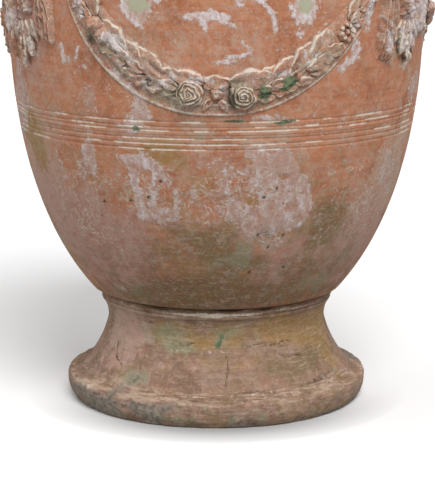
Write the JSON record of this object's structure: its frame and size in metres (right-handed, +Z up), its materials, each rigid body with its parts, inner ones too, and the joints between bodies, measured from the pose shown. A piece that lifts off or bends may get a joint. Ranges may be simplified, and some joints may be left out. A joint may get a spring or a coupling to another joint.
{
  "type": "footed garden vase",
  "caption": "Footed terracotta garden vase with a combed belt, flower garlands, bows and tassels in relief, a broad rolled rim, a hollow foot and a drain hole.",
  "frame": {"origin": "centre of the ring the foot stands on, at ground level", "axes": "+Z up the axis of the vase, -Y towards the front, where the middle of the first garland is"},
  "size_m": [0.6, 0.6, 0.7512],
  "materials": {
    "body_clay": "bare fired clay with worn pale slip",
    "foot_clay": "bare fired clay with lichen and soil stains",
    "relief_clay": "press-moulded clay with remains of pale slip"
  },
  "bodies": {
    "root": {"bowl": "body_clay", "foot": "foot_clay", "garland_1_band": "relief_clay", "garland_1_blossom": "relief_clay", "garland_1_fruits": "relief_clay", "garland_1_leaves_centre": "relief_clay", "garland_1_leaves_left_high": "relief_clay", "garland_1_leaves_left_low": "relief_clay", "garland_1_leaves_right_high": "relief_clay", "garland_1_leaves_right_low": "relief_clay", "garland_1_rose_left": "relief_clay", "garland_1_rose_right": "relief_clay", "garland_2_band": "relief_clay", "garland_2_blossom": "relief_clay", "garland_2_fruits": "relief_clay", "garland_2_leaves_centre": "relief_clay", "garland_2_leaves_left_high": "relief_clay", "garland_2_leaves_left_low": "relief_clay", "garland_2_leaves_right_high": "relief_clay", "garland_2_leaves_right_low": "relief_clay", "garland_2_rose_left": "relief_clay", "garland_2_rose_right": "relief_clay", "garland_3_band": "relief_clay", "garland_3_blossom": "relief_clay", "garland_3_fruits": "relief_clay", "garland_3_leaves_centre": "relief_clay", "garland_3_leaves_left_high": "relief_clay", "garland_3_leaves_left_low": "relief_clay", "garland_3_leaves_right_high": "relief_clay", "garland_3_leaves_right_low": "relief_clay", "garland_3_rose_left": "relief_clay", "garland_3_rose_right": "relief_clay", "joint_coil": "foot_clay", "rim": "body_clay", "tassel_1_bow": "relief_clay", "tassel_1_bunch": "relief_clay", "tassel_1_cord": "relief_clay", "tassel_1_tail_left": "relief_clay", "tassel_1_tail_right": "relief_clay", "tassel_2_bow": "relief_clay", "tassel_2_bunch": "relief_clay", "tassel_2_cord": "relief_clay", "tassel_2_tail_left": "relief_clay", "tassel_2_tail_right": "relief_clay", "tassel_3_bow": "relief_clay", "tassel_3_bunch": "relief_clay", "tassel_3_cord": "relief_clay", "tassel_3_tail_left": "relief_clay", "tassel_3_tail_right": "relief_clay", "wall": "body_clay"}
  },
  "joints": []
}
